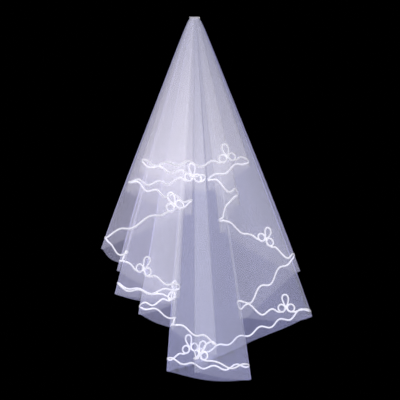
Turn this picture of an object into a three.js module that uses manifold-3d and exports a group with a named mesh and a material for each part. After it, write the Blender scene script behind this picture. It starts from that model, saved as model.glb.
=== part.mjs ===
// Tulle bridal veil: one round sheet of net, gathered off its centre and hanging by the gather.
// Its folds fall as long straight pleats, and a satin cord with trefoil loops is sewn on above the hem.
// Millimetres, +Z up, +X to the right and -Y to the front. The origin is the top of the gather.

import * as THREE from "three";
import { mergeVertices } from "three/addons/utils/BufferGeometryUtils.js";
import Module from "manifold-3d";

const wasm = await Module();
wasm.setup();

const DEGREE = Math.PI / 180;

// The cloth
const WALL = 1.1;
const APEX_RISE = 37; // the fold lines would meet this far above the gather
const APEX_TO_GATHER_X = 28; // sideways spread of the gather for each unit of slope
const FOLD_REACH = 0.8; // each fold stands out this much more in the gather
const LAYER_PITCH = 1.5; // one layer of cloth to the next, in the gather
const MIDDLE_LAYER = 8.5;
const PLUMB_LAYER = 11.5; // the layer that hangs straight down
const LAYER_ANGLE = 1.09 * DEGREE; // one layer to the next, seen from the side
const WIDEST_SLOPE = Math.tan(21.5 * DEGREE);
const SIDE_SQUEEZE = 0.2; // share of that angle lost at the two sides
const RIPPLE = 1.2 * DEGREE;
const RIPPLE_PERIOD = 15 * DEGREE;
const RIPPLE_LAG = 0.2; // radians from one layer to the next
const BOW = 0.025; // the pleats stand out by this share half way down
const FLARE = 0.2; // and by up to this share just below the gather's band
const FLARE_START = 4; // the flare grows over this length of cloth below the band
const FLARE_FADE = 105; // and fades over this one

// Folds in their order round the hem. side is the way the fold points, x and drop place its corner,
// layer counts back from the front for the panel after it, and swell lowers the middle of that
// panel's hem. trough and crest are the lowest and highest way up the fold from the hem to the wavy
// cord, arch raises both by that much more in the middle of the panel, and wave counts the waves of
// the cord from the trefoil before the fold.
const FOLDS = [
  { side: "left", x: -158, drop: 442, layer: 0, swell: -2, trough: 25, crest: 37, arch: 9, wave: 3.37 },
  { side: "right", x: 158, drop: 428, layer: 3, swell: 3, trough: 12, crest: 27, arch: 3, wave: 0.8 },
  { side: "left", x: 38, drop: 495, layer: 5.2, swell: 0, trough: 30, crest: 39, arch: 2, wave: 2.9 },
  { side: "right", x: 130, drop: 535, layer: 7.5, swell: -14, trough: 23, crest: 46, arch: 0, wave: 4.75 },
  { side: "left", x: 72, drop: 615, layer: 9.8, swell: -2, trough: 33, crest: 42, arch: 3, wave: 5.8 },
  { side: "right", x: 300, drop: 724, layer: 12, swell: -8, trough: 40, crest: 54, arch: -10, wave: 1.65 },
  { side: "left", x: 129, drop: 862, layer: 14, swell: 4, trough: 32, crest: 55, arch: -12, wave: 4.7 },
  { side: "right", x: 337, drop: 854, layer: 17, swell: -14, trough: 15, crest: 30, arch: -4, wave: 0.9 },
  { side: "left", x: -81, drop: 1014, layer: 16, swell: 4, trough: 32, crest: 41, arch: -2, wave: 1.25 },
  { side: "right", x: 163, drop: 1036, layer: 15, swell: 0, trough: 36, crest: 50, arch: -5, wave: 5.2 },
  { side: "left", x: 0, drop: 1016, layer: 14, swell: 3, trough: 36, crest: 47, arch: 10, wave: 0 },
  { side: "right", x: 64, drop: 964, layer: 13, swell: 3, trough: 29, crest: 46, arch: 8, wave: 1 },
  { side: "left", x: -67, drop: 894, layer: 12, swell: 0, trough: 12, crest: 20, arch: 0, wave: 3.1 },
  { side: "right", x: -54, drop: 886, layer: 11, swell: 4, trough: 22, crest: 30, arch: 6, wave: 3.6 },
  { side: "left", x: -160, drop: 846, layer: 10, swell: 3, trough: 16, crest: 34, arch: 5, wave: 5.2 },
  { side: "right", x: -54, drop: 818, layer: 9, swell: 3, trough: 13, crest: 18, arch: 7, wave: 0 },
  { side: "left", x: -227, drop: 789, layer: 8, swell: 3, trough: 23, crest: 33, arch: -12, wave: 2.5 },
  { side: "right", x: -43, drop: 798, layer: 7, swell: 3, trough: 25, crest: 37, arch: 0, wave: 5.2 },
  { side: "left", x: -220, drop: 722, layer: 6, swell: 0, trough: 29, crest: 38, arch: 0, wave: 1 },
  { side: "right", x: -196, drop: 700, layer: 5, swell: 11, trough: 25, crest: 33, arch: -8, wave: 1.65 },
  { side: "left", x: -264, drop: 659, layer: 4, swell: -22, trough: 34, crest: 48, arch: -5, wave: 3.05 },
  { side: "right", x: -7, drop: 563, layer: 3, swell: -3, trough: 29, crest: 42, arch: 0, wave: 0.45 },
  { side: "left", x: -195, drop: 496, layer: 2, swell: -12, trough: 27, crest: 40, arch: -13, wave: 4 },
  { side: "right", x: 34, drop: 497, layer: 1, swell: -6, trough: 35, crest: 47, arch: -4, wave: 0.37 },
];
const TURN_STEPS = 5;
const SEWN_TURN_STEPS = 12; // round a fold that carries a trefoil
const PANEL_STEP = 4 * DEGREE;
const TURN_SHARE = 0.4; // most of a panel's width that one rounded fold may take
const ROWS = [0, 0.015, 0.07, 0.2, 0.5, 1]; // shares of the drop
const LONGEST_MITRE = 2; // most that the wall is stretched where the cloth turns sharply
const WELD = 1e-4;

// The gather's band
const BAND = { height: 5, wall: 1.1, clear: 0.4, sides: 36 };

// The edge cord, as a flat-backed bead of satin cord
const CORD = { width: 4.8, height: 1.8, gap: 0.35 };
const RUN_RISE = 28; // runs along the hem are measured this far above it
const CLIMB = 45; // the cord changes height to meet a motif within this run
const CALM = 25; // its waves fade out within this run of a motif
const WAVE_STEPS = 6;
const BEND_CLEAR = 1 / 3; // share of a step kept free on both sides of a bend in the cloth
const CORD_CLEAR = 16; // from the middle of a side loop to the end of the cord beside it
const LOOP_GAP = 1.4;
const SIDE_LOOP = { radius: 10.9, apart: 29, steps: 10 };
const TOP_LOOP = { foot: 5.2, fullness: 15.5, height: 45, steps: 12, above: 0.5 };
const FOLDED_STEPS = 1.5; // times as many steps in a trefoil that goes round a fold

// Trefoils in their order round the hem. after is the fold before the motif, share its place along
// the panel that follows, foot the way from the hem up to its side loops, and waves the number of
// waves in the cord from it to the next motif.
const TREFOILS = [
  { after: 0, share: 0.795, foot: 27, waves: 8 },
  { after: 4, share: 0.515, foot: 43, waves: 7 },
  { after: 6, share: 0.64, foot: 27, waves: 6.6 },
  { after: 7, share: 0.815, foot: 38, waves: 7 },
  { after: 10, share: 0, foot: 38, waves: 7 },
  { after: 15, share: 0, foot: 15, waves: 7 },
  { after: 17, share: 0.64, foot: 29, waves: 5.3 },
  { after: 20, share: 0.865, foot: 21, waves: 7 },
  { after: 22, share: 0.847, foot: 27, waves: 7 },
];

const tulle = new THREE.MeshStandardMaterial({
  color: 0xdcdaf2,
  roughness: 0.75,
  metalness: 0,
  transparent: true,
  opacity: 0.45,
  side: THREE.DoubleSide,
});
const satin = new THREE.MeshStandardMaterial({ color: 0xf6f5ff, roughness: 0.4, metalness: 0 });

const mix = (from, to, share) => from + (to - from) * share;

// How far a point of the cloth lies behind the plumb line for each unit of height below the apex.
function depthSlope(slope, layer) {
  const squeeze = 1 - SIDE_SQUEEZE * (slope / WIDEST_SLOPE) ** 2;
  const ripple = RIPPLE * Math.sin((2 * Math.PI * Math.atan(slope)) / RIPPLE_PERIOD + RIPPLE_LAG * layer);
  return Math.tan((layer - PLUMB_LAYER) * LAYER_ANGLE * squeeze + ripple);
}

// Each fold with its slope away from the plumb line and the length of cloth from the apex to its corner.
const folds = FOLDS.map((fold, i) => {
  const layerBefore = FOLDS.at(i - 1).layer;
  const fall = fold.drop + APEX_RISE;
  const slope = fold.x / fall;
  const length = fall * Math.hypot(slope, depthSlope(slope, (layerBefore + fold.layer) / 2), 1);
  return { ...fold, layerBefore, slope, length, sign: fold.side === "right" ? 1 : -1 };
});
const foldAt = (i) => folds.at(i % folds.length);
const panelWidth = (i) => Math.abs(foldAt(i + 1).slope - foldAt(i).slope);

// One column of the rounded turn at a fold. A column is one line of the cloth from gather to hem,
// and angle goes from -90 degrees at the panel before the fold to 90 at the panel after it.
function turnColumn(i, angle) {
  const fold = foldAt(i);
  const roundTurn = (Math.abs(fold.layer - fold.layerBefore) / 2) * LAYER_ANGLE;
  const room = TURN_SHARE * Math.min(panelWidth(i - 1), panelWidth(i));
  const back = 1 - Math.cos(angle);
  return {
    slope: fold.slope - fold.sign * Math.min(roundTurn, room) * back,
    layer: mix(fold.layerBefore, fold.layer, (1 + Math.sin(angle)) / 2),
    gatherX: APEX_TO_GATHER_X * fold.slope + fold.sign * (FOLD_REACH - (LAYER_PITCH / 2) * back),
    length: fold.length,
  };
}

function turnColumns(i) {
  const isSewn = TREFOILS.some((trefoil) => trefoil.after === i && trefoil.share === 0);
  const steps = isSewn ? SEWN_TURN_STEPS : TURN_STEPS;
  return Array.from({ length: steps + 1 }, (_, k) => turnColumn(i, mix(-90, 90, k / steps) * DEGREE));
}

// The columns of the flat panel after a fold, between its own turn and the next one.
function panelColumns(i) {
  const start = turnColumn(i, 90 * DEGREE);
  const end = turnColumn(i + 1, -90 * DEGREE);
  const count = Math.floor(panelWidth(i) / PANEL_STEP);
  return Array.from({ length: count }, (_, k) => {
    const share = (k + 1) / (count + 1);
    return {
      slope: mix(start.slope, end.slope, share),
      layer: start.layer,
      gatherX: mix(start.gatherX, end.gatherX, share),
      length: mix(start.length, end.length, share) + 4 * foldAt(i).swell * share * (1 - share),
    };
  });
}

// How much further out a point of the cloth lies than on a straight line from gather to hem.
function spread(share, drop) {
  const grown = 1 - Math.exp(-Math.max(drop - BAND.height, 0) / FLARE_START);
  const flare = FLARE * grown * Math.exp(-drop / FLARE_FADE);
  return (1 + 4 * BOW * share * (1 - share)) * (1 + flare);
}

// The points of one column from gather to hem.
function columnPoints(column) {
  const depth = depthSlope(column.slope, column.layer);
  const fall = column.length / Math.hypot(column.slope, depth, 1);
  const top = new THREE.Vector3(column.gatherX, (column.layer - MIDDLE_LAYER) * LAYER_PITCH, 0);
  const hem = new THREE.Vector3(column.slope * fall, depth * fall, APEX_RISE - fall);
  return ROWS.map((share) => {
    const point = top.clone().lerp(hem, share);
    const out = spread(share, -point.z);
    return point.set(point.x * out, point.y * out, point.z);
  });
}

// The cloth once round, and the columns at which each fold's turn starts and ends.
const columns = [];
const turns = folds.map((_, i) => {
  const first = columns.length;
  columns.push(...turnColumns(i));
  const last = columns.length - 1;
  columns.push(...panelColumns(i));
  return { first, last };
});
const grid = columns.map(columnPoints);

// Sideways offset at each grid point that moves a wall by one millimetre away from the veil's inside.
const outward = grid.map((points, j) =>
  points.map((point, row) => {
    const before = grid.at(j - 1)[row];
    const after = grid[(j + 1) % grid.length][row];
    const inEdge = new THREE.Vector2(point.x - before.x, point.y - before.y).normalize();
    const outEdge = new THREE.Vector2(after.x - point.x, after.y - point.y).normalize();
    const mitre = inEdge.clone().add(outEdge).normalize();
    const stretch = Math.min(1 / mitre.dot(inEdge), LONGEST_MITRE);
    return new THREE.Vector3(mitre.y * stretch, -mitre.x * stretch, 0);
  }),
);

function closedGeometry(vertices, triangles) {
  const geometry = new THREE.BufferGeometry();
  geometry.setAttribute("position", new THREE.Float32BufferAttribute(vertices, 3));
  geometry.setIndex(triangles);
  const welded = mergeVertices(geometry, WELD);
  welded.computeVertexNormals();
  return welded;
}

// A closed skin over rings of points: each ring joins the next, and the last joins the first when
// the skin is a loop, or else both ends are capped.
function skinOver(rings, isLoop) {
  const around = rings[0].length;
  const vertices = rings.flat().flatMap((point) => point.toArray());
  const triangles = [];
  const spans = isLoop ? rings.length : rings.length - 1;
  for (let j = 0; j < spans; j++) {
    const here = j * around;
    const there = ((j + 1) % rings.length) * around;
    for (let k = 0; k < around; k++) {
      const l = (k + 1) % around;
      triangles.push(here + k, there + l, there + k, here + k, here + l, there + l);
    }
  }
  if (!isLoop) {
    const end = (rings.length - 1) * around;
    for (let k = 1; k < around - 1; k++) {
      triangles.push(0, k + 1, k);
      triangles.push(end, end + k, end + k + 1);
    }
  }
  return closedGeometry(vertices, triangles);
}

// The folded sheet: each column is a ring that runs down outside the cloth and up inside it.
function tulleSheet() {
  const wallLine = (points, j, lift) =>
    points.map((point, row) => point.clone().addScaledVector(outward[j][row], lift));
  const rings = grid.map((points, j) => [
    ...wallLine(points, j, WALL / 2),
    ...wallLine(points, j, -WALL / 2).reverse(),
  ]);
  return skinOver(rings, true);
}

// A point of one column that lies some way above the hem, in its last span.
function pointAbove(points, rise) {
  const hem = points.at(-1);
  const upper = points.at(-2);
  return hem.clone().lerp(upper, rise / hem.distanceTo(upper));
}

// Runs: the length along the hem from the first column to each column, and once round.
const runLine = grid.map((points) => pointAbove(points, RUN_RISE));
const runs = [0];
runLine.forEach((point, j) => {
  runs.push(runs[j] + point.distanceTo(runLine[(j + 1) % runLine.length]));
});
const hemLength = runs.pop();
const tipRuns = turns.map(({ first, last }) => (runs[first] + runs[last]) / 2);
tipRuns.push(tipRuns[0] + hemLength);

const wrapped = (run) => ((run % hemLength) + hemLength) % hemLength;

// The run at a place on a panel: its share of the way from one fold's tip to the next.
const runAtPanel = (after, share) => mix(tipRuns[after], tipRuns[after + 1], share);

const motifRuns = TREFOILS.map((trefoil) => runAtPanel(trefoil.after, trefoil.share));
motifRuns.push(motifRuns[0] + hemLength);

// The panel that a run lies on, and the share of the way across it.
function panelAt(run) {
  const at = wrapped(run - tipRuns[0]) + tipRuns[0];
  const i = tipRuns.findLastIndex((tip) => tip <= at);
  return { i, share: (at - tipRuns[i]) / (tipRuns[i + 1] - tipRuns[i]) };
}

// How far above the hem the cord has its troughs at a run, and how much higher its crests are.
function waveHeights(run) {
  const { i, share } = panelAt(run);
  const trough = mix(foldAt(i).trough, foldAt(i + 1).trough, share);
  const crest = mix(foldAt(i).crest, foldAt(i + 1).crest, share);
  return [trough + 4 * foldAt(i).arch * share * (1 - share), crest - trough];
}

// How fast the cloth gets longer along a panel's hem, as the sine of the hem's angle to its folds.
function panelLean(i) {
  const j = (i + folds.length) % folds.length;
  return (foldAt(j + 1).length - foldAt(j).length) / (tipRuns[j + 1] - tipRuns[j]);
}

const motifLeans = TREFOILS.map(({ after, share }) => {
  const isOnFold = share === 0;
  return isOnFold ? mix(panelLean(after - 1), panelLean(after), 0.5) : panelLean(after);
});

// The run and the rise up its column of a place that lies square above the hem at a trefoil.
function squarePlace(index, way, up) {
  const lean = motifLeans[index % TREFOILS.length];
  const rise = up / Math.sqrt(1 - lean ** 2);
  return [motifRuns[index] + way + rise * lean, rise];
}

// The point at a run along the hem and a rise up its column, lifted off the cloth's outer face.
function onCloth([run, rise], lift) {
  const at = wrapped(run);
  const before = runs.findLastIndex((length) => length <= at);
  const after = (before + 1) % grid.length;
  const end = runs[before + 1] ?? hemLength;
  const lifted = [before, after].map((j) => {
    const span = grid[j].at(-1).distanceTo(grid[j].at(-2));
    const direction = outward[j].at(-1).clone().lerp(outward[j].at(-2), rise / span);
    return pointAbove(grid[j], rise).addScaledVector(direction, WALL / 2 + lift);
  });
  return lifted[0].lerp(lifted[1], (at - runs[before]) / (end - runs[before]));
}

// Runs between two places, with one at every column of the cloth so that a cord bends where it does.
function runsBetween(from, to, step) {
  const count = Math.ceil((to - from) / step);
  const bends = [...runs, ...runs.map((run) => run + hemLength)].filter((run) => run > from && run < to);
  const even = Array.from({ length: count + 1 }, (_, k) => mix(from, to, k / count));
  const kept = even.filter((run, k) => {
    const isEnd = k === 0 || k === count;
    return isEnd || bends.every((bend) => Math.abs(bend - run) > step * BEND_CLEAR);
  });
  return [...kept, ...bends].sort((a, b) => a - b);
}

// The cord's waves from its start to a run, even from one knot to the next.
function wavesAt(run, knots) {
  const after = knots.findIndex((knot) => knot.run >= run);
  const [start, end] = [knots[after - 1], knots[after]];
  return mix(start.wave, end.wave, (run - start.run) / (end.run - start.run));
}

// The wavy cord from one trefoil to the next.
function edgeCord(index) {
  const [from, leavingRise] = squarePlace(index, SIDE_LOOP.apart / 2, TREFOILS[index].foot);
  const nextFoot = TREFOILS[(index + 1) % TREFOILS.length].foot;
  const [to, arrivingRise] = squarePlace(index + 1, -SIDE_LOOP.apart / 2, nextFoot);
  const { waves } = TREFOILS[index];
  const tips = FOLDS.map(({ wave }, i) => ({ run: tipRuns[i], wave }));
  const nextRound = tips.map(({ run, wave }) => ({ run: run + hemLength, wave }));
  const between = [...tips, ...nextRound].filter(({ run }) => run > from && run < to);
  const knots = [{ run: from, wave: 0 }, ...between, { run: to, wave: waves }];
  const nearness = (way, reach) => (1 + Math.cos(Math.PI * Math.min(way / reach, 1))) / 2;
  const riseAt = (run) => {
    const [trough, height] = waveHeights(run);
    const leaving = mix(trough, leavingRise, nearness(run - from, CLIMB));
    const low = mix(leaving, arrivingRise, nearness(to - run, CLIMB));
    const calm = nearness(Math.min(run - from, to - run), CALM);
    return low + ((1 - calm) * height * (1 - Math.cos(2 * Math.PI * wavesAt(run, knots)))) / 2;
  };
  const step = (to - from) / (waves * WAVE_STEPS);
  const rings = runsBetween(from + CORD_CLEAR, to - CORD_CLEAR, step).map((run) => {
    const slope = (riseAt(run + 1) - riseAt(run - 1)) / 2;
    const half = (CORD.width / 2) * Math.hypot(1, slope);
    return [
      onCloth([run, riseAt(run) - half], CORD.gap),
      onCloth([run, riseAt(run) + half], CORD.gap),
      onCloth([run, riseAt(run)], CORD.gap + CORD.height),
    ];
  });
  return skinOver(rings, false);
}

function manifoldOf(geometry) {
  const vertProperties = new Float32Array(geometry.getAttribute("position").array);
  const triVerts = new Uint32Array(geometry.index.array);
  return new wasm.Manifold(new wasm.Mesh({ numProp: 3, vertProperties, triVerts }));
}

function geometryOf(solid) {
  const mesh = solid.getMesh();
  return closedGeometry(Array.from(mesh.vertProperties), Array.from(mesh.triVerts));
}

// A closed loop of cord lying a gap off the cloth at a trefoil, through a ring of places beside and
// above the point of the hem that the trefoil stands on.
function cordLoop(index, steps, gap, placeAt) {
  const places = Array.from({ length: steps }, (_, k) => placeAt((2 * Math.PI * k) / steps));
  const rings = places.map(([way, up], k) => {
    const before = places.at(k - 1);
    const after = places[(k + 1) % steps];
    const along = new THREE.Vector2(after[0] - before[0], after[1] - before[1]);
    const across = along.setLength(CORD.width / 2);
    return [
      onCloth(squarePlace(index, way + across.y, up - across.x), gap),
      onCloth(squarePlace(index, way - across.y, up + across.x), gap),
      onCloth(squarePlace(index, way, up), gap + CORD.height),
    ];
  });
  return manifoldOf(skinOver(rings, true));
}

// Two round loops side by side, joined by a drop-shaped one that rises between them.
function trefoil(index) {
  const { share, foot } = TREFOILS[index];
  const circle = (side) => (angle) => [
    side * (SIDE_LOOP.apart / 2 + SIDE_LOOP.radius * Math.cos(angle)),
    foot + SIDE_LOOP.radius * (1 + side * Math.sin(angle)),
  ];
  const drop = (angle) => {
    const up = (1 - Math.cos(angle)) / 2;
    return [TOP_LOOP.fullness * Math.sin(angle) * up, foot + TOP_LOOP.foot + TOP_LOOP.height * up];
  };
  const finer = share === 0 ? FOLDED_STEPS : 1;
  const left = cordLoop(index, SIDE_LOOP.steps * finer, LOOP_GAP, circle(-1));
  const right = cordLoop(index, SIDE_LOOP.steps * finer, LOOP_GAP, circle(1));
  const top = cordLoop(index, TOP_LOOP.steps * finer, LOOP_GAP + TOP_LOOP.above, drop);
  return geometryOf(left.add(right).add(top));
}

// The band that holds the gather: a ring round the outermost folds where they leave it.
function gatherBand() {
  const foot = grid.map(([top, below]) => top.clone().lerp(below, BAND.height / (top.z - below.z)));
  const inner = WALL / 2 + BAND.clear;
  const rings = [];
  for (let k = 0; k < BAND.sides; k++) {
    const angle = (-2 * Math.PI * k) / BAND.sides;
    const out = new THREE.Vector3(Math.cos(angle), Math.sin(angle), 0);
    const outermost = foot.reduce((far, point) => (point.dot(out) > far.dot(out) ? point : far));
    const corner = (extra, z) => outermost.clone().addScaledVector(out, extra).setZ(z);
    rings.push([
      corner(inner, 0),
      corner(inner, -BAND.height),
      corner(inner + BAND.wall, -BAND.height),
      corner(inner + BAND.wall, 0),
    ]);
  }
  return skinOver(rings, true);
}

function meshOf(name, geometry, material) {
  const mesh = new THREE.Mesh(geometry, material);
  mesh.name = name;
  return mesh;
}

const veil = new THREE.Group();
veil.add(meshOf("tulle_sheet", tulleSheet(), tulle));
veil.add(meshOf("gather_band", gatherBand(), satin));
TREFOILS.forEach((_, index) => {
  veil.add(meshOf(`edge_cord_${index + 1}`, edgeCord(index), satin));
  veil.add(meshOf(`trefoil_${index + 1}`, trefoil(index), satin));
});

export default veil;
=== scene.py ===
# Looks for the tulle bridal veil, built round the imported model. Metres, +Z up, -Y to the front.

import math

import bpy
import numpy as np
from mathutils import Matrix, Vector


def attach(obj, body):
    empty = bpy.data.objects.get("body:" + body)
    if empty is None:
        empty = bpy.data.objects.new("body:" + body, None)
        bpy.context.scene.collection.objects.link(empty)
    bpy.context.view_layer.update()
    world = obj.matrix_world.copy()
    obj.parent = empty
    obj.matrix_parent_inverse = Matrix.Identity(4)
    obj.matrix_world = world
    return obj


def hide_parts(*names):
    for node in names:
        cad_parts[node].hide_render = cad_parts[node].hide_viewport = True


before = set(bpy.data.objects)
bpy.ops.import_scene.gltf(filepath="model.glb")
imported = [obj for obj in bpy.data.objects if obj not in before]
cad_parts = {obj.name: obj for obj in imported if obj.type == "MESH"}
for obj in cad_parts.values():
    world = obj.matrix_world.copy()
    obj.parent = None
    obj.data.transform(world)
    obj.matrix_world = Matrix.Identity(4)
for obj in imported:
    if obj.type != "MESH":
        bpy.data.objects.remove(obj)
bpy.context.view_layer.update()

DEGREE = math.pi / 180
MM = 0.001

# The cloth, as in the part's source
APEX_RISE = 37 * MM  # the fold lines would meet this far above the gather
APEX_TO_GATHER_X = 28 * MM  # sideways spread of the gather for each unit of slope
FOLD_REACH = 0.8 * MM  # each fold stands out this much more in the gather
LAYER_PITCH = 1.5 * MM  # one layer of cloth to the next, in the gather
MIDDLE_LAYER = 8.5  # the layer in the middle of the gather
PLUMB_LAYER = 11.5  # the layer that hangs straight down
LAYER_ANGLE = 1.09 * DEGREE  # one layer to the next, seen from the side
WIDEST_SLOPE = math.tan(21.5 * DEGREE)
SIDE_SQUEEZE = 0.2  # share of that angle lost at the two sides
RIPPLE = 1.2 * DEGREE
RIPPLE_PERIOD = 15 * DEGREE
RIPPLE_LAG = 0.2  # radians from one layer to the next
BOW = 0.025  # the pleats stand out by this share half way down
FLARE = 0.2  # and by up to this share just below the gather's band
FLARE_START = 4 * MM  # the flare grows over this length of cloth below the band
FLARE_FADE = 105 * MM  # and fades over this one
BAND_HEIGHT = 5 * MM
TURN_SHARE = 0.4  # most of a panel's width that one rounded fold may take

# Folds in their order round the hem: the way the fold points, the place of its corner in
# millimetres, the layer of the panel after it, how far that panel's hem swells, the lowest and the
# highest way up to the cord, how much higher the cord lies in the middle of the panel, and the
# cord's waves since the trefoil before the fold.
SIDE, CORNER_X, DROP, LAYER, SWELL, TROUGH, CREST, ARCH, WAVE = range(9)
FOLDS = [
    ("left", -158, 442, 0, -2, 25, 37, 9, 3.37),
    ("right", 158, 428, 3, 3, 12, 27, 3, 0.8),
    ("left", 38, 495, 5.2, 0, 30, 39, 2, 2.9),
    ("right", 130, 535, 7.5, -14, 23, 46, 0, 4.75),
    ("left", 72, 615, 9.8, -2, 33, 42, 3, 5.8),
    ("right", 300, 724, 12, -8, 40, 54, -10, 1.65),
    ("left", 129, 862, 14, 4, 32, 55, -12, 4.7),
    ("right", 337, 854, 17, -14, 15, 30, -4, 0.9),
    ("left", -81, 1014, 16, 4, 32, 41, -2, 1.25),
    ("right", 163, 1036, 15, 0, 36, 50, -5, 5.2),
    ("left", 0, 1016, 14, 3, 36, 47, 10, 0),
    ("right", 64, 964, 13, 3, 29, 46, 8, 1),
    ("left", -67, 894, 12, 0, 12, 20, 0, 3.1),
    ("right", -54, 886, 11, 4, 22, 30, 6, 3.6),
    ("left", -160, 846, 10, 3, 16, 34, 5, 5.2),
    ("right", -54, 818, 9, 3, 13, 18, 7, 0),
    ("left", -227, 789, 8, 3, 23, 33, -12, 2.5),
    ("right", -43, 798, 7, 3, 25, 37, 0, 5.2),
    ("left", -220, 722, 6, 0, 29, 38, 0, 1),
    ("right", -196, 700, 5, 11, 25, 33, -8, 1.65),
    ("left", -264, 659, 4, -22, 34, 48, -5, 3.05),
    ("right", -7, 563, 3, -3, 29, 42, 0, 0.45),
    ("left", -195, 496, 2, -12, 27, 40, -13, 4),
    ("right", 34, 497, 1, -6, 35, 47, -4, 0.37),
]

# Trefoils in their order round the hem: the fold before the motif, its place along the panel that
# follows, the height of its side loops above the hem in millimetres, and the waves up to the next.
AFTER, SHARE, FOOT, WAVES = range(4)
TREFOILS = [
    (0, 0.795, 27, 8),
    (4, 0.515, 43, 7),
    (6, 0.64, 27, 6.6),
    (7, 0.815, 38, 7),
    (10, 0, 38, 7),
    (15, 0, 15, 7),
    (17, 0.64, 29, 5.3),
    (20, 0.865, 21, 7),
    (22, 0.847, 27, 7),
]

# The fine mesh of the cloth
TURN_STEPS = 12
PANEL_STEP = 0.45 * DEGREE
ROWS = 96
ROW_CROWDING = 1.35  # rows lie closer together towards the gather
HEM_ROWS = 19  # so many rows above the hem give the cloth's direction there

# The cloth's own slight unevenness near the hem, as waves: radians for each metre along the hem and
# for the whole way down the cloth, the wave's height and its lag.
ALONG, DOWNWARD, HEIGHT, LAG = range(4)
SOFT_WAVES = [
    (23, 2.1, 0.5 * MM, 0),
    (41, -3.3, 0.4 * MM, 1.2),
    (97, 5, 0.175 * MM, 0.4),
    (171, -9, 0.125 * MM, 2),
]

# The net: how much of the light one layer stops, and how much more where nothing lies behind it.
# Its threads stop this much more and its gaps this much less. Where a fold turns the net edge on to
# the front it looks denser, as if its face shrank to this share at most.
COVER = {"cloth": 0.16, "bare": 0.105, "threads": 0.035, "edge_on": 0.3}
NEXT_LAYER = 0.4  # a panel more than this many layers behind a point counts as cloth behind it

# The gaps of the net lie a pitch apart, where three waves across it at these angles add up to a high
# value, and its threads run where they add up to a low one.
NET = {"pitch": 1.6 * MM, "gap": 0.2, "thread": -1.2}
NET_ANGLES = [0, 120, 240]

# The colour of the net, which scatters more blue where little white cloth lies behind it. From the front
# layers to the rear ones the net is painted with shade, darker and bluer the further back it lies.
FRONT_TINT = np.array([0.78, 0.755, 0.82])
REAR_SHADED_TINT = np.array([0.56, 0.57, 0.67])
BARE_TINT = np.array([0, 0, 0.26])
BARE_FADE = 0.17  # each further layer behind leaves this share of it
MIDDLE_DROP = 0.52  # half the height of the veil
PAINTED_SHADE_DOWN = 0.14  # painted light and shade: the cloth is this much brighter at the foot than in the middle
PAINTED_SHADE_ENDS = np.array([-0.17, -0.16, -0.1])  # and, as painted shade, dimmer and bluer towards both ends
PAINTED_SHADE_SIDES = -0.1  # and, as painted shade where the light falls off, dimmer towards both sides

# The cord sewn along the hem: its stitches sink it into the net, so that it shows on both faces.
CORD = {"width": 4.8 * MM, "height": 2.6 * MM, "step": 1.9 * MM, "sides": 12, "sunk": 0.9 * MM}
RUN_RISE = 28 * MM  # runs along the hem are measured this far above it
CLIMB = 45 * MM  # the cord changes height to meet a motif within this run
CALM = 25 * MM  # its waves fade out within this run of a motif
EDGE_STEP = 4 * MM  # from one worked-out place of its waves to the next
LOOP_RADIUS = 10.9 * MM
LOOP_APART = 29 * MM
STRAND_RISE = 2.4 * MM  # a strand of the cord that crosses another lies this much higher

# The cord's way through a trefoil: round the first side loop, over the top loop and round the second.
# The loops' arcs are angles in degrees, and the top loop's leg and the crossing below it are
# millimetres beside and above the foot of the motif. A strand number says how many strands of the
# cord lie under a place.
ARC_STEP = 18
ARC_START, ARC_END, STRAND_START, STRAND_END = range(4)
FIRST_LOOP = [(-90, 234, 0, 0), (252, 342, 0.3, 1)]
SECOND_LOOP = [(198, 288, 1, 0.6), (306, 630, 0, 0)]
CROSSING = (0, 14)
CROSSING_STRANDS = {"rising": 0.6, "falling": 1.5}
TOP_LEG = [(5.3, 23), (9.3, 34), (9.9, 41.5), (6.5, 48.2), (0, 50.5)]

# The band round the gather, and its section as ways out of the cloth and heights in millimetres
BAND_SIDES = 120
BAND_SECTION = [
    (0.5, -0.3),
    (0.5, -4.7),
    (0.7, -5.0),
    (1.0, -5.0),
    (1.3, -4.7),
    (1.4, -2.5),
    (1.3, -0.3),
    (1.0, 0),
    (0.7, 0),
]

# The stage: the photograph shows this much of it from side to side, round this middle.
CENTRE = Vector((0.0157, 0, -0.5215))
PHOTO_WIDTH = 1.14
CAMERA_WAY = 12
SENSOR = 36  # millimetres across
FLOOR = {"radius": 1.6, "height": -1.3, "sides": 96}

# Soft studio lights: where each stands, its size and its power
LIGHTS = [
    ("key", (-2.6, -7.0, 0.4), 3, 303),
    ("fill", (3.2, -6.8, -0.6), 3, 211),
    ("back", (0.8, 7.0, 0.8), 3, 350),
    ("top", (0, 0, 4.5), 3, 120),
]


def mix(a, b, share):
    return a + (b - a) * share


def depth_slope(slope, layer):
    """How far the cloth lies behind the plumb line for each unit of height below the apex."""
    squeeze = 1 - SIDE_SQUEEZE * (slope / WIDEST_SLOPE) ** 2
    ripple = RIPPLE * np.sin(2 * math.pi * np.arctan(slope) / RIPPLE_PERIOD + RIPPLE_LAG * layer)
    return np.tan((layer - PLUMB_LAYER) * LAYER_ANGLE * squeeze + ripple)


def fold_facts():
    """Each fold's direction, slope, layers and length of cloth from the apex to its corner."""
    facts = []
    for i, fold in enumerate(FOLDS):
        before = FOLDS[i - 1][LAYER]
        fall = fold[DROP] * MM + APEX_RISE
        slope = fold[CORNER_X] * MM / fall
        depth = depth_slope(slope, (before + fold[LAYER]) / 2)
        facts.append({
            "sign": 1 if fold[SIDE] == "right" else -1,
            "slope": slope,
            "before": before,
            "layer": fold[LAYER],
            "length": fall * math.sqrt(slope**2 + depth**2 + 1),
        })
    return facts


def panel_width(folds, i):
    return abs(folds[(i + 1) % len(folds)]["slope"] - folds[i]["slope"])


# A column of the cloth is one line from gather to hem, and holds these values.
SLOPE, DEPTH_LAYER, GATHER_X, LENGTH = range(4)


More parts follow.
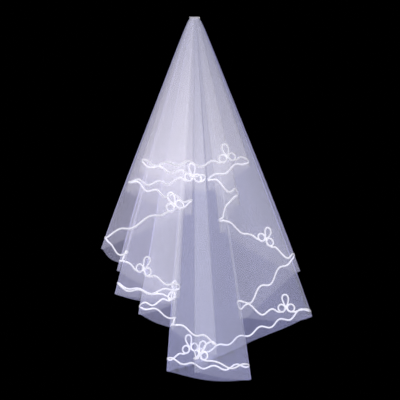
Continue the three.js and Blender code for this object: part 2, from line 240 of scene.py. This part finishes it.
def turn_column(folds, i, angle):
    """One column of the rounded turn at a fold."""
    fold = folds[i]
    round_turn = abs(fold["layer"] - fold["before"]) / 2 * LAYER_ANGLE
    room = TURN_SHARE * min(panel_width(folds, i - 1), panel_width(folds, i))
    back = 1 - math.cos(angle)
    return np.array([
        fold["slope"] - fold["sign"] * min(round_turn, room) * back,
        mix(fold["before"], fold["layer"], (1 + math.sin(angle)) / 2),
        APEX_TO_GATHER_X * fold["slope"] + fold["sign"] * (FOLD_REACH - LAYER_PITCH / 2 * back),
        fold["length"],
    ])


def cloth_columns():
    """The cloth's columns once round as rows of an array, and the column at each fold's tip."""
    folds = fold_facts()
    columns, tips = [], []
    for i, fold in enumerate(FOLDS):
        tips.append(len(columns) + TURN_STEPS // 2)
        for k in range(TURN_STEPS + 1):
            columns.append(turn_column(folds, i, mix(-90, 90, k / TURN_STEPS) * DEGREE))
        after = (i + 1) % len(FOLDS)
        start, end = columns[-1], turn_column(folds, after, -90 * DEGREE)
        count = int(panel_width(folds, i) / PANEL_STEP)
        for k in range(1, count + 1):
            share = k / (count + 1)
            column = mix(start, end, share)
            column[LENGTH] += 4 * fold[SWELL] * MM * share * (1 - share)
            columns.append(column)
    return np.array(columns), tips


def fall_of(columns):
    """The drop of each column from the apex, and how far behind the plumb line it lies."""
    slope, layer, _, length = columns.T
    depth = depth_slope(slope, layer)
    return length / np.sqrt(slope**2 + depth**2 + 1), depth


def spread(share, drop):
    """How much further out the cloth lies than on a straight line from gather to hem."""
    grown = 1 - np.exp(-np.maximum(drop - BAND_HEIGHT, 0) / FLARE_START)
    flare = FLARE * grown * np.exp(-drop / FLARE_FADE)
    return (1 + 4 * BOW * share * (1 - share)) * (1 + flare)


def cloth_points(columns, share):
    """Points of the columns at shares of the way from gather to hem, one column after the other."""
    slope, layer, gather_x, _ = columns.T
    fall, depth = fall_of(columns)
    top = np.stack([gather_x, (layer - MIDDLE_LAYER) * LAYER_PITCH, 0 * slope], -1)
    hem = np.stack([slope * fall, depth * fall, APEX_RISE - fall], -1)
    points = mix(top, hem, share[..., None])
    points[..., :2] *= spread(share, -points[..., 2])[..., None]
    return points


def outward(points):
    """Unit vectors sideways out of the veil at each point."""
    along = np.roll(points, -1, 1) - np.roll(points, 1, 1)
    along[..., 2] = 0
    along /= np.linalg.norm(along, axis=-1, keepdims=True)
    return np.stack([along[..., 1], -along[..., 0], 0 * along[..., 0]], -1)


def soft_waves(run, share):
    """How far the soft waves move the cloth out at a run along the hem and a share of the way down."""
    waves = [
        wave[HEIGHT] * np.sin(wave[ALONG] * run + wave[DOWNWARD] * share + wave[LAG])
        for wave in SOFT_WAVES
    ]
    return sum(waves) * share**2


COLUMNS, TIPS = cloth_columns()
COUNT = len(COLUMNS)
ROW_SHARES = np.linspace(0, 1, ROWS + 1)[:, None] ** ROW_CROWDING
PRESSED = cloth_points(COLUMNS, ROW_SHARES)
OUT = outward(PRESSED)


def above_hem(grid, rise):
    """A point on each column that lies some way above the hem."""
    hem, upper = grid[-1], grid[-1 - HEM_ROWS]
    span = np.linalg.norm(hem - upper, axis=-1, keepdims=True)
    return mix(hem, upper, rise / span)


# Runs: the length along the hem, a little above it, from the first column to each column.
run_line = above_hem(PRESSED, RUN_RISE)
steps = np.linalg.norm(np.roll(run_line, -1, 0) - run_line, axis=1)
RUNS = np.concatenate([[0], np.cumsum(steps)])
HEM_LENGTH = RUNS[-1]
TIP_RUNS = np.array([RUNS[tip] for tip in TIPS] + [RUNS[TIPS[0]] + HEM_LENGTH])

# The cloth as it hangs, with its soft waves
GRID = PRESSED + OUT * soft_waves(RUNS[:-1][None, :], ROW_SHARES)[..., None]


def mesh_object(name, vertices, faces):
    mesh = bpy.data.meshes.new(name)
    mesh.from_pydata(vertices.tolist(), [], faces.tolist())
    mesh.validate()
    mesh.shade_smooth()
    made = bpy.data.objects.new(name, mesh)
    bpy.context.scene.collection.objects.link(made)
    return made


def place(piece, material):
    piece.data.materials.append(material)
    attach(piece, "root")
    return piece


def cloth_piece():
    """The net as one fine sheet, with its cover and its tint with painted shade at each point for the
    material.
    """
    rows, count = GRID.shape[:2]
    index = np.arange(rows * count).reshape(rows, count)
    right = np.roll(index, -1, 1)
    faces = np.stack([index[:-1], index[1:], right[1:], right[:-1]], -1).reshape(-1, 4)
    piece = mesh_object("tulle_veil", GRID.reshape(-1, 3), faces)
    bare = BARE_FADE ** layers_behind()
    for name, kind, field, values in (
        ("cover", "FLOAT", "value", net_cover(bare)),
        ("shaded_tint", "FLOAT_VECTOR", "vector", net_shaded_tint(bare)),
    ):
        attribute = piece.data.attributes.new(name, kind, "POINT")
        attribute.data.foreach_set(field, values.astype(np.float32).ravel())
    flat = flat_places(PRESSED)
    uv = piece.data.uv_layers.new(name="cloth")
    corner = np.array([loop.vertex_index for loop in piece.data.loops])
    uv.data.foreach_set("uv", flat.reshape(-1, 2)[corner].astype(np.float32).ravel())
    return piece


def layers_behind():
    """How many layers of the cloth lie behind each of its points, seen from the front."""
    fall, _ = fall_of(COLUMNS)
    below = APEX_RISE - PRESSED[..., 2]
    slope = PRESSED[..., 0] / below
    behind = np.zeros(slope.shape)
    for i, fold in enumerate(FOLDS):
        start, end = TIPS[i], TIPS[(i + 1) % len(TIPS)]
        panel = np.arange(start, end if end > start else end + COUNT) % COUNT
        panel = panel[np.argsort(COLUMNS[panel, SLOPE])]
        reach = np.interp(slope, COLUMNS[panel, SLOPE], fall[panel], left=0, right=0)
        behind += (below < reach) & (COLUMNS[:, DEPTH_LAYER] + NEXT_LAYER < fold[LAYER])
    return behind


def net_cover(bare):
    """How much of the light the net stops at each of its points, seen from the front."""
    facing = np.maximum(np.abs(OUT[..., 1]), COVER["edge_on"])
    return 1 - (1 - COVER["cloth"] - COVER["bare"] * bare) ** (1 / facing)


def net_shaded_tint(bare):
    """The colour of the net at each of its points, with painted shade: darker for the rear layers,
    towards both ends and towards both sides.
    """
    layer = COLUMNS[:, DEPTH_LAYER, None]
    # painted shade: the rear layers darker and bluer than the front ones
    shaded_tint = mix(FRONT_TINT, REAR_SHADED_TINT, layer / layer.max())
    # painted shade: dimmer and bluer towards both ends, darkest in the gather at the top
    below = (-PRESSED[..., 2:] - MIDDLE_DROP) / MIDDLE_DROP
    # painted shade: dimmer towards both sides, where the light falls off
    beside = COLUMNS[:, SLOPE, None] / WIDEST_SLOPE
    share = 1 + PAINTED_SHADE_DOWN * below + PAINTED_SHADE_ENDS * below**2 + PAINTED_SHADE_SIDES * beside**2
    return (shaded_tint + BARE_TINT * bare[..., None]) * share


def flat_places(points):
    """Where each point lies on the cloth laid flat: a length from the apex and an angle."""
    length = np.linalg.norm(points - np.array([0, 0, APEX_RISE]), axis=-1)
    hem = points[-1]
    turn = np.linalg.norm(np.roll(hem, -1, 0) - hem, axis=-1) / length[-1]
    angle = np.concatenate([[0], np.cumsum(turn)[:-1]])
    return np.stack([length * np.cos(angle), length * np.sin(angle)], -1)


def panel_at(run):
    """The panel that a run lies on, and the share of the way across it."""
    at = np.mod(run - TIP_RUNS[0], HEM_LENGTH) + TIP_RUNS[0]
    i = np.clip(np.searchsorted(TIP_RUNS, at, side="right") - 1, 0, len(FOLDS) - 1)
    return i, (at - TIP_RUNS[i]) / (TIP_RUNS[i + 1] - TIP_RUNS[i])


def wave_heights(run):
    """How far above the hem the cord has its troughs at a run, and how much higher its crests are."""
    trough, crest = (np.array([fold[k] for fold in FOLDS + FOLDS[:1]]) * MM for k in (TROUGH, CREST))
    arches = np.array([fold[ARCH] for fold in FOLDS]) * MM
    i, share = panel_at(run)
    low = mix(trough[i], trough[i + 1], share)
    high = mix(crest[i], crest[i + 1], share)
    return low + 4 * arches[i] * share * (1 - share), high - low


def panel_lean(i):
    """The sine of the angle between a panel's hem and the square across its folds."""
    i = i % len(TIPS)
    before, after = COLUMNS[[TIPS[i], TIPS[(i + 1) % len(TIPS)]], LENGTH]
    return (after - before) / (TIP_RUNS[i + 1] - TIP_RUNS[i])


def motif_lean(motif):
    """The lean of the panel that a trefoil lies on, or the mean of two where it goes round a fold."""
    if motif[SHARE] == 0:
        return (panel_lean(motif[AFTER] - 1) + panel_lean(motif[AFTER])) / 2
    return panel_lean(motif[AFTER])


def motif_run(index):
    motif = TREFOILS[index % len(TREFOILS)]
    run = mix(TIP_RUNS[motif[AFTER]], TIP_RUNS[motif[AFTER] + 1], motif[SHARE])
    return run + HEM_LENGTH * (index // len(TREFOILS))


def square_place(index, way, up):
    """The run and the rise up its column of places that lie square above the hem at a trefoil."""
    lean = motif_lean(TREFOILS[index % len(TREFOILS)])
    rise = up / math.sqrt(1 - lean**2)
    return motif_run(index) + way + rise * lean, rise


def on_cloth(run, rise, lift):
    """Points at runs along the hem and rises up their columns, lifted off the cloth's outer face."""
    at = np.mod(run, HEM_LENGTH)
    before = np.clip(np.searchsorted(RUNS, at, side="right") - 1, 0, COUNT - 1)
    after = (before + 1) % COUNT
    share = ((at - RUNS[before]) / (RUNS[before + 1] - RUNS[before]))[:, None]
    columns = mix(COLUMNS[before], COLUMNS[after], share)
    gather, hem = (cloth_points(columns, np.full(len(run), end)) for end in (0, 1))
    down = 1 - rise / np.linalg.norm(hem - gather, axis=-1)
    out = mix(OUT[-1, before], OUT[-1, after], share)
    out /= np.linalg.norm(out, axis=-1, keepdims=True)
    along = np.stack([-out[:, 1], out[:, 0], 0 * down], -1)
    normal = np.cross(along, gather - hem)
    normal /= np.linalg.norm(normal, axis=-1, keepdims=True)
    point = cloth_points(columns, down) + out * soft_waves(at, down)[:, None]
    return point + normal * lift[:, None], normal


def loop_arc(side, arc):
    """Places and strands along one arc of the side loop on the motif's left, -1, or right, 1."""
    angles = np.arange(arc[ARC_START], arc[ARC_END] + 1, ARC_STEP) * DEGREE
    way = side * LOOP_APART / 2 + LOOP_RADIUS * np.cos(angles)
    up = LOOP_RADIUS * (1 + np.sin(angles))
    return np.stack([way, up, np.linspace(arc[STRAND_START], arc[STRAND_END], len(angles))], -1)


def trefoil_path(foot):
    """The ways beside the motif's middle, the heights above the hem and the strands of its cord."""
    crossing = (CROSSING[0] * MM, CROSSING[1] * MM)
    rising = [(x * MM, y * MM, 0) for x, y in TOP_LEG]
    falling = [(-x * MM, y * MM, 0) for x, y in TOP_LEG[-2::-1]]
    top = [
        (*crossing, CROSSING_STRANDS["rising"]),
        *rising,
        *falling,
        (*crossing, CROSSING_STRANDS["falling"]),
    ]
    first = [loop_arc(-1, arc) for arc in FIRST_LOOP]
    second = [loop_arc(1, arc) for arc in SECOND_LOOP]
    return np.concatenate([*first, top, *second]) + np.array([0, foot, 0])


def nearness(way, reach):
    """A smooth share that is 1 at no way at all and 0 from the reach onwards."""
    return (1 + np.cos(math.pi * np.clip(way / reach, 0, 1))) / 2


def edge_path(index):
    """Runs, rises and strands of the cord from one trefoil to the next."""
    following = TREFOILS[(index + 1) % len(TREFOILS)]
    start, leaving = square_place(index, LOOP_APART / 2, TREFOILS[index][FOOT] * MM)
    end, arriving = square_place(index + 1, -LOOP_APART / 2, following[FOOT] * MM)
    tips = [(run, fold[WAVE]) for run, fold in zip(TIP_RUNS, FOLDS)]
    tips += [(run + HEM_LENGTH, wave) for run, wave in tips]
    knots = [(start, 0)] + [tip for tip in tips if start < tip[0] < end] + [(end, TREFOILS[index][WAVES])]
    run = np.linspace(start, end, int((end - start) / EDGE_STEP))[1:-1]
    low, height = wave_heights(run)
    low = mix(low, leaving, nearness(run - start, CLIMB))
    low = mix(low, arriving, nearness(end - run, CLIMB))
    calm = nearness(np.minimum(run - start, end - run), CALM)
    turn = 2 * math.pi * np.interp(run, *np.array(knots).T)
    return np.stack([run, low + (1 - calm) * height * (1 - np.cos(turn)) / 2, 0 * run], -1)


def smooth_closed(points, step):
    """A closed smooth line through points, with places about a step apart."""
    made = []
    count = len(points)
    for k in range(count):
        a, b, c, d = (points[(k + j) % count] for j in (-1, 0, 1, 2))
        pieces = max(1, round(np.linalg.norm(c[:3] - b[:3]) / step))
        for t in np.arange(pieces) / pieces:
            bend = (2 * a - 5 * b + 4 * c - d) * t**2 + (3 * b - a - 3 * c + d) * t**3
            made.append(0.5 * (2 * b + (c - a) * t + bend))
    return np.array(made)


def cord_piece():
    """One satin cord all round the hem, as a tube with a rounded flat section."""
    places = []
    for index, motif in enumerate(TREFOILS):
        way, up, strand = trefoil_path(motif[FOOT] * MM).T
        run, rise = square_place(index, way, up)
        places += [np.stack([run, rise, strand], -1), edge_path(index)]
    run, rise, strand = np.concatenate(places).T
    lift = CORD["height"] / 2 - CORD["sunk"] + strand * STRAND_RISE
    centre, out = on_cloth(run, rise, lift)
    line = smooth_closed(np.concatenate([centre, out], -1), CORD["step"])
    centre, out = line[:, :3], line[:, 3:]
    along = np.roll(centre, -1, 0) - np.roll(centre, 1, 0)
    along /= np.linalg.norm(along, axis=-1, keepdims=True)
    across = np.cross(along, out)
    across /= np.linalg.norm(across, axis=-1, keepdims=True)
    out = np.cross(across, along)
    sides = CORD["sides"]
    angle = np.arange(sides) * 2 * math.pi / sides
    ring = (
        centre[:, None]
        + across[:, None] * (np.cos(angle) * CORD["width"] / 2)[None, :, None]
        + out[:, None] * (np.sin(angle) * CORD["height"] / 2)[None, :, None]
    )
    piece = mesh_object("hem_cord", ring.reshape(-1, 3), ring_faces(len(centre), sides))
    unroll(piece, centre, sides)
    return piece


def ring_faces(rings, around):
    """Quads of a skin over rings of points that join the last ring to the first."""
    index = np.arange(rings * around).reshape(rings, around)
    ahead = np.roll(index, -1, 0)
    return np.stack([index, ahead, np.roll(ahead, -1, 1), np.roll(index, -1, 1)], -1).reshape(-1, 4)


def unroll(piece, line, around):
    """UVs of a skin over rings: metres along the line through the rings, and turns round it."""
    steps = np.linalg.norm(np.roll(line, -1, 0) - line, axis=1)
    along = np.concatenate([[0], np.cumsum(steps)])
    corners = np.zeros((len(line), around, 4, 2))
    corners[..., 0] = np.stack([along[:-1], along[1:], along[1:], along[:-1]], -1)[:, None]
    corners[..., 1] = (np.arange(around)[:, None] + np.array([0, 0, 1, 1])) / around
    uv = piece.data.uv_layers.new(name="thread")
    uv.data.foreach_set("uv", corners.astype(np.float32).ravel())


def band_piece():
    """The band round the gather, with rounded edges."""
    fall, _ = fall_of(COLUMNS)
    foot = cloth_points(COLUMNS, BAND_HEIGHT / (fall - APEX_RISE))
    step = 2 * math.pi / BAND_SIDES
    angle = step * np.arange(BAND_SIDES)
    out = np.stack([np.cos(angle), np.sin(angle), 0 * angle], -1)
    side = np.stack([-np.sin(angle), np.cos(angle), 0 * angle], -1)
    reach = (out @ foot.T).max(1)
    slope = (np.roll(reach, -1) - np.roll(reach, 1)) / (2 * step)
    rim = (out * reach[:, None] + side * slope[:, None]) * np.array([1, 1, 0])
    section = np.array(BAND_SECTION) * MM
    up = np.array([0, 0, 1])
    rings = rim[:, None] + out[:, None] * section[None, :, :1] + up * section[None, :, 1:]
    piece = mesh_object("gather_ribbon", rings.reshape(-1, 3), ring_faces(BAND_SIDES, len(section)))
    unroll(piece, rim, len(section))
    return piece


def new_material(name):
    material = bpy.data.materials.new(name)
    material.use_nodes = True
    tree = material.node_tree
    shader = tree.nodes["Principled BSDF"]
    return material, tree, shader


def maths(tree, operation, *values):
    node = tree.nodes.new("ShaderNodeMath")
    node.operation = operation
    for socket, value in zip(node.inputs, values):
        if isinstance(value, (int, float)):
            socket.default_value = value
        else:
            tree.links.new(value, socket)
    return node.outputs[0]


def split_uv(tree, name):
    uv = tree.nodes.new("ShaderNodeUVMap")
    uv.uv_map = name
    split = tree.nodes.new("ShaderNodeSeparateXYZ")
    tree.links.new(uv.outputs[0], split.inputs[0])
    return split.outputs[0], split.outputs[1]


def read_attribute(tree, name, output):
    node = tree.nodes.new("ShaderNodeAttribute")
    node.attribute_name = name
    return node.outputs[output]


def net_material():
    """See-through net: a six-sided mesh of fine threads over the cover and the tint with painted shade of
    each point.
    """
    material, tree, shader = new_material("tulle_net")
    across, along = split_uv(tree, "cloth")
    waves = []
    rate = 2 * math.pi / (NET["pitch"] * math.cos(30 * DEGREE))
    for angle in NET_ANGLES:
        x = maths(tree, "MULTIPLY", across, rate * math.cos(angle * DEGREE))
        y = maths(tree, "MULTIPLY", along, rate * math.sin(angle * DEGREE))
        waves.append(maths(tree, "COSINE", maths(tree, "ADD", x, y)))
    total = maths(tree, "ADD", maths(tree, "ADD", waves[0], waves[1]), waves[2])
    thread = tree.nodes.new("ShaderNodeMapRange")
    tree.links.new(total, thread.inputs["Value"])
    thread.inputs["From Min"].default_value = NET["gap"]
    thread.inputs["From Max"].default_value = NET["thread"]
    thread.inputs["To Min"].default_value = -COVER["threads"]
    thread.inputs["To Max"].default_value = COVER["threads"]
    alpha = maths(tree, "ADD", thread.outputs[0], read_attribute(tree, "cover", "Fac"))
    tree.links.new(alpha, shader.inputs["Alpha"])
    # the tint holds painted shade
    tree.links.new(read_attribute(tree, "shaded_tint", "Vector"), shader.inputs["Base Color"])
    shader.inputs["Roughness"].default_value = 0.8
    shader.inputs["Specular IOR Level"].default_value = 0.1
    return material


def satin_material(name, light, groove_shade, pitch, turns):
    """Satin with a fine grain: ribs a pitch apart along the UVs that lean by some turns, with painted
    shade in the grooves between them.
    """
    material, tree, shader = new_material(name)
    along, around = split_uv(tree, "thread")
    along = maths(tree, "MULTIPLY", along, 2 * math.pi / pitch)
    around = maths(tree, "MULTIPLY", around, 2 * math.pi * turns)
    rib = maths(tree, "SINE", maths(tree, "ADD", along, around))
    rib = maths(tree, "MULTIPLY_ADD", rib, 0.5, 0.5)
    # painted shade: the colour is light on the ribs' crests and darker in the grooves between them
    ramp = tree.nodes.new("ShaderNodeValToRGB")
    ramp.color_ramp.elements[0].color = (*groove_shade, 1)
    ramp.color_ramp.elements[1].color = (*light, 1)
    tree.links.new(rib, ramp.inputs["Fac"])
    tree.links.new(ramp.outputs["Color"], shader.inputs["Base Color"])
    bump = tree.nodes.new("ShaderNodeBump")
    bump.inputs["Strength"].default_value = 0.4
    bump.inputs["Distance"].default_value = 0.15 * MM
    tree.links.new(rib, bump.inputs["Height"])
    tree.links.new(bump.outputs["Normal"], shader.inputs["Normal"])
    shader.inputs["Roughness"].default_value = 0.5
    shader.inputs["Sheen Weight"].default_value = 0.3
    return material


def round_floor():
    corners = np.arange(FLOOR["sides"])
    angle = 2 * math.pi * corners / FLOOR["sides"]
    edge = np.stack([np.cos(angle), np.sin(angle), 0 * angle], -1) * FLOOR["radius"]
    edge[:, 2] = FLOOR["height"]
    made = mesh_object("floor", edge, corners[None])
    material, _, shader = new_material("floor")
    shader.inputs["Base Color"].default_value = (0.85, 0.85, 0.87, 1)
    made.data.materials.append(material)
    return made


net = net_material()
satin = satin_material(
    "satin_cord",
    light=(0.9, 0.895, 0.99),
    groove_shade=(0.84, 0.83, 0.94),
    pitch=1.2 * MM,
    turns=1,
)
ribbon = satin_material(
    "gather_ribbon",
    light=(0.5, 0.49, 0.56),
    groove_shade=(0.36, 0.35, 0.42),
    pitch=1.1 * MM,
    turns=0,
)

veil = place(cloth_piece(), net)
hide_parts("tulle_sheet")

cord = place(cord_piece(), satin)
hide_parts(*[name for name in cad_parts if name.startswith(("edge_cord", "trefoil"))])

band = place(band_piece(), ribbon)
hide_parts("gather_band")

round_floor()

for name, spot, size, power in LIGHTS:
    data = bpy.data.lights.new(name, "AREA")
    data.size = size
    data.energy = power
    data.use_shadow = False
    light = bpy.data.objects.new(name, data)
    light.location = spot
    light.rotation_euler = (CENTRE - light.location).to_track_quat("-Z", "Y").to_euler()
    light.visible_camera = False
    bpy.context.scene.collection.objects.link(light)

camera_data = bpy.data.cameras.new("camera")
camera_data.sensor_width = SENSOR
camera_data.lens = SENSOR * CAMERA_WAY / PHOTO_WIDTH
camera = bpy.data.objects.new("camera", camera_data)
camera.location = CENTRE - Vector((0, CAMERA_WAY, 0))
camera.rotation_euler = (math.pi / 2, 0, 0)
bpy.context.scene.collection.objects.link(camera)
scene = bpy.context.scene
scene.camera = camera

world = bpy.data.worlds.new("studio")
world.use_nodes = True
world.node_tree.nodes["Background"].inputs["Color"].default_value = (0, 0, 0, 1)
scene.world = world
scene.view_settings.view_transform = "Standard"
scene.cycles.transparent_max_bounces = 48  # light goes through every layer of the net
